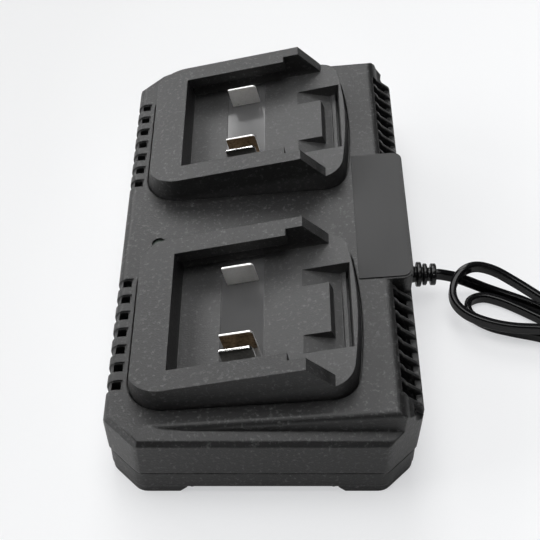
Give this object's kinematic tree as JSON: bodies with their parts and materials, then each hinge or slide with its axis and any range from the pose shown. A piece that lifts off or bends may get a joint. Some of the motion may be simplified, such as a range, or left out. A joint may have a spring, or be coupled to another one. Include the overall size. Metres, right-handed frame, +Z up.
{
  "type": "power tool battery charger",
  "caption": "Two-bay bench charger for slide-on power tool battery packs, sloping vented housing, guide lips, terminal blades and a flat mains lead with plug.",
  "frame": {"origin": "middle of the housing's footprint, on the surface the feet stand on", "axes": "+Z up, +X towards the side the mains lead leaves from, Y along the housing from bay to bay; -Y is the near end in the picture"},
  "size_m": [0.3582, 0.2012, 0.0533],
  "materials": {
    "housing": "fine spark-eroded texture",
    "bay": "fine spark-eroded texture",
    "insert": "smooth and glossy",
    "contact_metal": "nickel plated, bright cut edges",
    "label": "printed film, left bare",
    "lens": "diffusing",
    "board": "solder mask",
    "winding": "tape-wrapped",
    "capacitor": "shrink sleeve",
    "ferrite": "copper winding",
    "sink_metal": "extruded",
    "fuse_glass": "sleeved",
    "screw_metal": "zinc plated",
    "wire": "insulated",
    "lead_rubber": "satin",
    "plug_plastic": "moulded",
    "pin_metal": "nickel plated"
  },
  "bodies": {
    "root": {"upper_housing": "housing", "lower_housing": "housing", "front_bay": "bay", "rear_bay": "bay", "front_terminal_insert": "insert", "rear_terminal_insert": "insert", "front_positive_blade": "contact_metal", "front_negative_blade": "contact_metal", "front_sensor_blade": "contact_metal", "rear_positive_blade": "contact_metal", "rear_negative_blade": "contact_metal", "rear_sensor_blade": "contact_metal", "label_plate": "label", "indicator_lens": "lens", "indicator_lamp": "lens", "circuit_board": "board", "transformer": "winding", "mains_capacitor": "capacitor", "output_capacitors": "capacitor", "mains_choke": "ferrite", "heat_sink": "sink_metal", "fuse_holder": "fuse_glass", "output_leads": "wire", "board_screws": "screw_metal", "housing_screws": "screw_metal", "bay_screws": "screw_metal", "lead_clamp": "bay", "clamp_screws": "screw_metal", "inner_lead": "lead_rubber", "strain_relief": "lead_rubber", "mains_lead": "lead_rubber", "lead_hank": "lead_rubber", "lead_tail": "lead_rubber", "hank_tie": "lead_rubber", "plug_body": "plug_plastic", "plug_pins": "pin_metal"}
  },
  "joints": []
}
